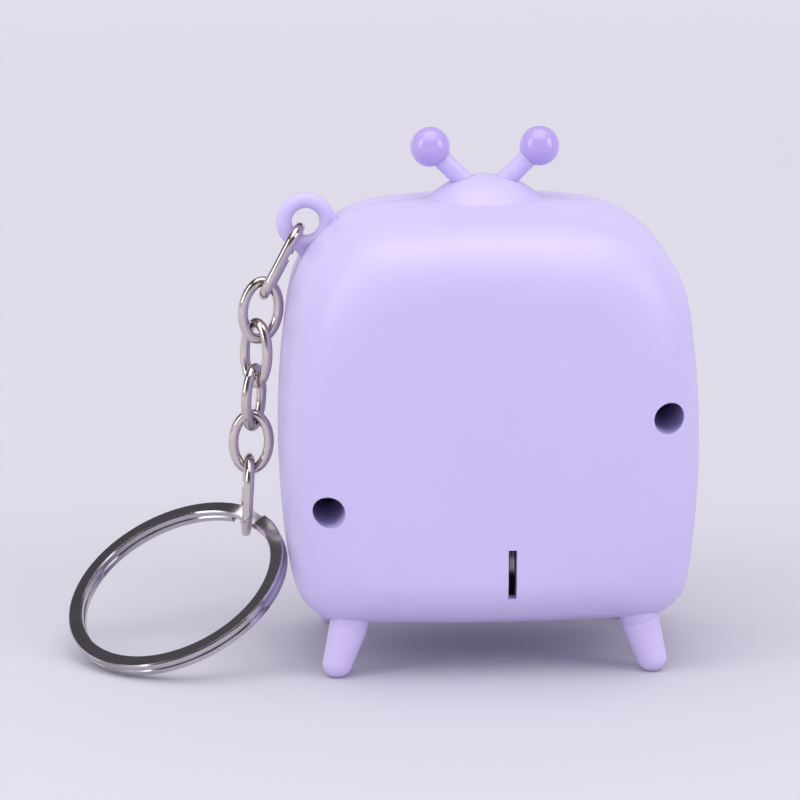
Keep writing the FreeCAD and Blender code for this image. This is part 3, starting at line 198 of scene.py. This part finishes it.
def ring_metal(name, color):
    """Stamped flat strip: finely lined flat faces and brighter rims."""
    material, t = new_material(name)

    # position in the ring's own frame, as angle, radius and height
    axis_z = Vector(RING_AXIS).normalized()
    axis_y = axis_z.cross(Vector(RING_ZERO)).normalized()
    axis_x = axis_y.cross(axis_z).normalized()
    offset = t.vector_math("SUBTRACT", {0: t.coord, 1: RING_CENTRE}, 0)
    x, y, z = (t.dot(offset, axis) for axis in (axis_x, axis_y, axis_z))
    angle = t.math("ARCTAN2", y, x)
    radius = t.math("SQRT", t.math("ADD", t.math("MULTIPLY", x, x), t.math("MULTIPLY", y, y)))

    # noise frequency along each of the three; unequal values draw it out into lines
    stretched = t.node("CombineXYZ", {
        0: t.math("MULTIPLY", angle, 90.0),
        1: t.math("MULTIPLY", radius, 700.0),
        2: t.math("MULTIPLY", z, 900.0)}).outputs[0]
    lines = t.noise(scale=1.6, detail=6.0, rough=0.75, vector=stretched)

    cloud = t.noise_range(scale=300.0)
    base = t.mix(cloud, shade(color, 0.86), shade(color, 1.0))
    line_tint = t.remap(lines, span=(0.4, 0.7), to=(0.0, 0.16))
    base = t.mix(line_tint, base, shade(color, 0.72))

    facing = t.math("ABSOLUTE", t.dot(t.node("NewGeometry").outputs["Normal"], axis_z))
    flatness = t.remap(facing, span=(0.8, 0.95))
    rough_flat = t.remap(lines, to=(0.13, 0.20))
    rough_rim = t.noise_range(scale=700.0, detail=4.0, to=(0.07, 0.14))
    roughness = t.node("Mix", {0: flatness, 2: rough_rim, 3: rough_flat},
                       data_type="FLOAT").outputs[0]
    normal = t.bump(lines, strength=0.06, distance=0.02 * MM, normal=t.edge(radius=0.06 * MM))
    t.surface({"Base Color": base, "Metallic": 1.0, "Roughness": roughness, "Normal": normal})
    return material


def clear_plastic(name):
    """Refracting clear plastic that lets shadow and diffuse rays straight through."""
    material, t = new_material(name)
    haze = t.noise_range(scale=220.0, to=(0.02, 0.06))
    tint = t.noise_range(scale=40.0, detail=2.0)
    t.surface({
        "Roughness": haze,
        "Base Color": t.mix(tint, (0.97, 0.97, 0.99, 1), (1.0, 1.0, 1.0, 1)),
        "Transmission Weight": 1.0,
        "IOR": 1.49,
        "Normal": t.bump(t.noise(scale=500.0, detail=2.0), strength=0.02,
                         distance=0.02 * MM, normal=t.edge(radius=0.1 * MM)),
    })
    rays = t.node("LightPath").outputs
    through = t.node("BsdfTransparent", {0: (0.95, 0.95, 0.96, 1)})
    passing = t.math("MAXIMUM", rays["Is Shadow Ray"], rays["Is Diffuse Ray"])
    t.mix_shaders(passing, t.main, through)
    return material


def display_film(name, color):
    """Display ground crossed by a fine square grid of electrode gaps."""
    material, t = new_material(name)
    position = t.node("SeparateXYZ", {0: t.coord}).outputs

    def from_cell_centre(coordinate):
        cell = t.math("FRACT", t.math("DIVIDE", coordinate, DOT_PITCH))
        return t.math("ABSOLUTE", t.math("SUBTRACT", cell, 0.5))

    reach = t.math("MAXIMUM", from_cell_centre(position[0]), from_cell_centre(position[2]))
    gap = t.remap(reach, span=(0.44, 0.47), to=(0.0, 0.35))
    cloud = t.noise_range(scale=70.0, detail=2.0)
    base = t.mix(cloud, shade(color, 0.95), shade(color, 1.04))
    t.surface({
        "Base Color": t.mix(gap, base, shade(color, 0.72)),
        "Roughness": t.noise_range(scale=1500.0, to=(0.42, 0.58)),
        "Normal": t.bump(gap, strength=0.05, distance=0.01 * MM),
    })
    return material


def board_laminate(name):
    """Green laminate with a raised network of lighter tracks."""
    material, t = new_material(name)
    cells = t.node("TexVoronoi", {"Scale": 320.0, "Vector": t.coord},
                   feature="DISTANCE_TO_EDGE")
    track = t.remap(cells.outputs["Distance"], span=(0.03, 0.06), to=(1.0, 0.0))
    weave = t.noise_range(scale=1800.0)
    base = t.mix(weave, srgb(22, 84, 52), srgb(30, 104, 62))
    t.surface({
        "Base Color": t.mix(track, base, srgb(58, 140, 84)),
        "Roughness": 0.35,
        "Normal": t.bump(track, strength=0.3, distance=0.03 * MM),
    })
    return material


LAVENDER = srgb(199, 188, 234)

# each material with the pieces that wear it
FINISHES = (
    (plastic("lavender_case", LAVENDER), "front_shell"),
    (plastic("lavender_case_rear", LAVENDER), "rear_shell"),
    (plastic("lavender_rods", srgb(198, 186, 236), rough=0.3, sss=0.2, coat=0.35),
     "antenna_rods"),
    (plastic("lavender_legs", srgb(206, 192, 239), rough=0.32, sss=0.2),
     "leg_rear_left leg_rear_right leg_front_left leg_front_right"),
    (plastic("violet_balls", srgb(180, 161, 223), rough=0.16, sss=0.25, coat=0.7, grain=0.1),
     "antenna_ball_left antenna_ball_right"),
    (plastic("violet_trim", srgb(172, 152, 219), rough=0.2, sss=0.15, coat=0.6, grain=0.12),
     "screen_frame"),
    (plastic("violet_buttons", srgb(162, 140, 214), rough=0.18, sss=0.2, coat=0.7, grain=0.1),
     "button_left button_middle button_right"),
    (clear_plastic("clear_screen"), "screen_lens"),
    (display_film("display_ground", srgb(158, 170, 146)), "lcd_polariser"),
    (display_film("display_reflector", srgb(188, 192, 178)), "lcd_reflector"),
    (clear_plastic("display_glass"), "lcd_glass"),
    (plastic("white_moulding", srgb(226, 224, 218), rough=0.5, sss=0.1, coat=0.0),
     "lcd_holder battery_holder"),
    (plastic("black_rubber", srgb(28, 27, 30), rough=0.6, sss=0.0, coat=0.0),
     "zebra_strips keypad_pill_left keypad_pill_middle keypad_pill_right"),
    (plastic("grey_rubber", srgb(150, 148, 158), rough=0.6, sss=0.1, coat=0.0),
     "keypad_sheet"),
    (board_laminate("board_laminate"), "circuit_board"),
    (plastic("black_epoxy", srgb(16, 16, 18), rough=0.28, sss=0.0, coat=0.4), "chip_blob"),
    (metal("zinc_steel", srgb(178, 176, 180), rough=0.28, scratch=1.0),
     "board_screws case_screws crystal battery_spring battery_contact"),
    (metal("cell_steel", srgb(196, 194, 192), rough=0.2, scratch=1.2),
     "button_cell_left button_cell_right"),
    (metal("bright_nickel", srgb(212, 203, 198), rough=0.06, scratch=0.7),
     "lug_link chain_link_2 chain_link_3 chain_link_4 chain_link_5 ring_link"),
    (metal("brass_sheet", srgb(200, 162, 84), rough=0.3, scratch=1.0), "piezo_plate"),
    (plastic("piezo_ceramic", srgb(222, 218, 208), rough=0.5, coat=0.0), "piezo_ceramic"),
    (plastic("chip_ceramic", srgb(96, 76, 60), rough=0.5, coat=0.0, sss=0.0), "smd_parts"),
    (plastic("red_insulation", srgb(176, 34, 38), rough=0.45, coat=0.0),
     "sounder_wires battery_wires"),
    (ring_metal("split_ring_steel", srgb(206, 202, 208)), "split_ring"),
)
MATERIAL_OF = {piece: material for material, pieces in FINISHES for piece in pieces.split()}


# ------------------------------------------------------------------ smooth shading
def smooth_group(degrees):
    """Geometry nodes that shade faces smooth but keep edges above the angle sharp."""
    group = bpy.data.node_groups.new("smooth_%d" % degrees, "GeometryNodeTree")
    for direction in ("INPUT", "OUTPUT"):
        group.interface.new_socket("Geometry", in_out=direction,
                                   socket_type="NodeSocketGeometry")
    new, link = group.nodes.new, group.links.new
    group_in = new("NodeGroupInput")
    group_out = new("NodeGroupOutput")
    faces = new("GeometryNodeSetShadeSmooth")
    faces.domain = "FACE"
    faces.inputs["Shade Smooth"].default_value = True
    edges = new("GeometryNodeSetShadeSmooth")
    edges.domain = "EDGE"
    edges.inputs["Shade Smooth"].default_value = False
    edge_angle = new("GeometryNodeInputMeshEdgeAngle")
    sharp = new("FunctionNodeCompare")
    sharp.data_type = "FLOAT"
    sharp.operation = "GREATER_THAN"
    sharp.inputs[1].default_value = math.radians(degrees)
    link(edge_angle.outputs[0], sharp.inputs[0])
    link(group_in.outputs[0], faces.inputs[0])
    link(faces.outputs[0], edges.inputs[0])
    link(sharp.outputs[0], edges.inputs["Selection"])
    link(edges.outputs[0], group_out.inputs[0])
    return group


def finish_pieces():
    smooth = smooth_group(SMOOTH_LIMIT)
    for name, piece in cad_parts.items():
        mesh = piece.data
        mesh.materials.clear()
        mesh.materials.append(MATERIAL_OF[name])
        # stored normals would override the smoothing
        if "custom_normal" in mesh.attributes:
            mesh.attributes.remove(mesh.attributes["custom_normal"])
        weld = piece.modifiers.new("weld", "WELD")
        weld.merge_threshold = WELD_DISTANCE
        piece.modifiers.new("smooth", "NODES").node_group = smooth


finish_pieces()


def add_mesh(name, bm):
    bmesh.ops.recalc_face_normals(bm, faces=bm.faces)
    mesh = bpy.data.meshes.new(name)
    bm.to_mesh(mesh)
    bm.free()
    piece = bpy.data.objects.new(name, mesh)
    scene.collection.objects.link(piece)
    return piece


# ------------------------------------------------------------------ the picture on the display
EGG = (
    "....####....",
    "...######...",
    "..########..",
    "..###..####.",
    ".####..####.",
    ".##########.",
    "############",
    "######..####",
    "######..####",
    "############",
    "############",
    ".##########.",
    "..########..",
    "....####....",
)
# rows and columns count dots from the middle of the display
EGG_TOP_ROW = 6
LINE_ROW = -10
LINE_REACH = 15
RING_COLUMNS = (-14, -7, 0, 7, 14)
RING_BOTTOM_ROW = 10

DOT_SIZE = DOT_PITCH * 0.88
DOT_CORNER = DOT_PITCH * 0.08       # cut off each corner
DOT_LIFT = 0.012 * MM               # from the polariser's low-Y face out to the dots' far face
DOT_DEPTH = 0.01 * MM


def picture_cells():
    """Columns and rows of the egg, the line below it and five small square rings above."""
    for down, row in enumerate(EGG):
        for across, mark in enumerate(row):
            if mark == "#":
                yield across - (len(row) - 1) / 2, EGG_TOP_ROW - down
    for column in range(-LINE_REACH, LINE_REACH + 1):
        yield column, LINE_ROW
    for middle in RING_COLUMNS:
        for across in (-1, 0, 1):
            for up in (0, 1, 2):
                if (across, up) != (0, 1):
                    yield middle + across, RING_BOTTOM_ROW + up


def display_dots():
    low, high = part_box("lcd_polariser")
    y = low.y - DOT_LIFT
    middle_x = (low.x + high.x) / 2
    middle_z = (low.z + high.z) / 2
    cut = DOT_CORNER
    bm = bmesh.new()
    for column, row in picture_cells():
        x0 = middle_x + column * DOT_PITCH - DOT_SIZE / 2
        z0 = middle_z + row * DOT_PITCH - DOT_SIZE / 2
        x1 = x0 + DOT_SIZE
        z1 = z0 + DOT_SIZE
        outline = ((x0 + cut, z0), (x1 - cut, z0), (x1, z0 + cut), (x1, z1 - cut),
                   (x1 - cut, z1), (x0 + cut, z1), (x0, z1 - cut), (x0, z0 + cut))
        face = bm.faces.new([bm.verts.new((x, y, z)) for x, z in outline])
        extruded = bmesh.ops.extrude_face_region(bm, geom=[face])
        for part in extruded["geom"]:
            if isinstance(part, bmesh.types.BMVert):
                part.co.y += DOT_DEPTH
    dots = add_mesh("display_dots", bm)
    dots.data.materials.append(
        plastic("display_ink", srgb(46, 52, 48), rough=0.5, sss=0.0, coat=0.0))
    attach(dots, "case")


display_dots()

# ------------------------------------------------------------------ backdrop
FLOOR_YS = (0.9, 0.3, 0.0, -0.35)       # the bend starts at the last of these
BACKDROP_XS = (-1.6, -0.6, 0.6, 1.6)
BEND_RADIUS = 0.35
BEND_STEPS = 16


def backdrop_material():
    """Paper with painted shade, darker near the origin and paler far off, and a painted glow
    far from it.
    """
    material, t = new_material("pale_backdrop")
    color = srgb(224, 221, 232)
    reach = t.vector_math("LENGTH", {0: t.coord}, "Value")
    # painted shade: the paper colour is darkened near the origin, where the toy stands, and
    # paler further off
    painted_shade_falloff = t.remap(reach, span=(0.05, 0.35))
    paper_and_painted_shade = t.mix(painted_shade_falloff, shade(color, 0.795), shade(color, 0.95))
    paper_and_painted_shade = t.mix(t.noise_range(scale=3.0, detail=2.0, to=(0.0, 0.02)), paper_and_painted_shade,
                  shade(color, 0.6))
    t.surface({
        "Base Color": paper_and_painted_shade,
        # painted glow: the paper gives off light of its own, rising with distance from the
        # origin
        "Emission Color": paper_and_painted_shade,
        "Emission Strength": t.remap(reach, span=(0.45, 0.65), to=(0.0, 0.13)),
        "Roughness": 0.9,
        "Specular IOR Level": 0.15,
    })
    return material


def backdrop():
    """Floor that bends up through a quarter circle on the -Y side."""
    profile = [(y, 0.0) for y in FLOOR_YS]
    for i in range(1, BEND_STEPS + 1):
        angle = math.radians(90.0 * i / BEND_STEPS)
        profile.append((FLOOR_YS[-1] - BEND_RADIUS * math.sin(angle),
                        BEND_RADIUS - BEND_RADIUS * math.cos(angle)))
    bm = bmesh.new()
    rows = [[bm.verts.new((x, y, z)) for x in BACKDROP_XS] for y, z in profile]
    for a, b in zip(rows, rows[1:]):
        for i in range(len(BACKDROP_XS) - 1):
            bm.faces.new((a[i], a[i + 1], b[i + 1], b[i]))
    sheet = add_mesh("backdrop", bm)
    for face in sheet.data.polygons:
        face.use_smooth = True
    sheet.data.materials.append(backdrop_material())


backdrop()


# ------------------------------------------------------------------ lights
def place(name, data, location, target):
    """Add a light or camera that points at the target."""
    item = bpy.data.objects.new(name, data)
    scene.collection.objects.link(item)
    item.location = location
    direction = Vector(target) - Vector(location)
    item.rotation_euler = direction.to_track_quat("-Z", "Y").to_euler()
    return item


def area_light(name, location, size, power, color):
    light = bpy.data.lights.new(name, "AREA")
    light.shape = "RECTANGLE"
    light.size, light.size_y = size
    light.energy = power
    light.color = color
    place(name, light, location, target=(0.0, 0.0, 0.03))


# the side lights are named as seen from the camera, whose left is +X
area_light("overhead", location=(0.02, 0.12, 0.62), size=(0.62, 0.62), power=1.78,
           color=(1.0, 0.99, 1.0))
area_light("side_left", location=(0.55, 0.25, 0.30), size=(0.30, 0.45), power=1.08,
           color=(1.0, 0.985, 0.97))
area_light("side_right", location=(-0.50, 0.30, 0.28), size=(0.28, 0.4), power=0.95,
           color=(0.98, 0.98, 1.0))

# ------------------------------------------------------------------ world
# what mirror-like rays see: (height from 0 straight down to 1 straight up, colour)
REFLECTED_SKY = (
    (0.0, (0.80, 0.77, 0.86, 1)),
    (0.52, (0.84, 0.81, 0.90, 1)),
    (0.60, (0.30, 0.28, 0.33, 1)),
    (0.70, (0.14, 0.13, 0.145, 1)),
    (0.93, (0.19, 0.18, 0.195, 1)),
    (1.0, (0.6, 0.58, 0.62, 1)),
)


def studio_world():
    """Pale room; glossy rays see a darker, patchy one that gives the metal contrast."""
    world = bpy.data.worlds.new("studio")
    scene.world = world
    t = Shader(world, "OutputWorld", "Background", "Generated")
    upward = t.node("SeparateXYZ", {0: t.coord}).outputs[2]
    sky = t.node("ValToRGB", {0: t.remap(upward, span=(-1.0, 1.0))})
    stops = sky.color_ramp.elements
    for i, (position, color) in enumerate(REFLECTED_SKY):
        # a new ramp already holds two stops
        stop = stops[i] if i < 2 else stops.new(position)
        stop.position = position
        stop.color = color
    patches = t.noise_range(scale=2.6, detail=0.0, span=(0.44, 0.53), to=(0.58, 1.2))
    patchy_sky = t.vector_math("SCALE", {0: sky.outputs[0], "Scale": patches}, 0)
    rays = t.node("LightPath").outputs
    room = t.mix(rays["Is Glossy Ray"], (0.90, 0.89, 0.91, 1), patchy_sky)
    t.surface({"Color": room, "Strength": 0.855})
    seen = t.node("Background", {"Color": srgb(226, 222, 236), "Strength": 1.0})
    t.mix_shaders(rays["Is Camera Ray"], t.main, seen)


studio_world()


# ------------------------------------------------------------------ camera
def camera():
    lens = bpy.data.cameras.new("camera")
    lens.lens = 164.0
    lens.sensor_width = 36.0
    lens.clip_start = 0.01
    scene.camera = place("camera", lens, location=in_mm(40.932, 437.398, 131.423),
                         target=in_mm(10.346, 0.0, 30.195))
    scene.view_settings.view_transform = "Standard"
    scene.view_settings.look = "None"


camera()
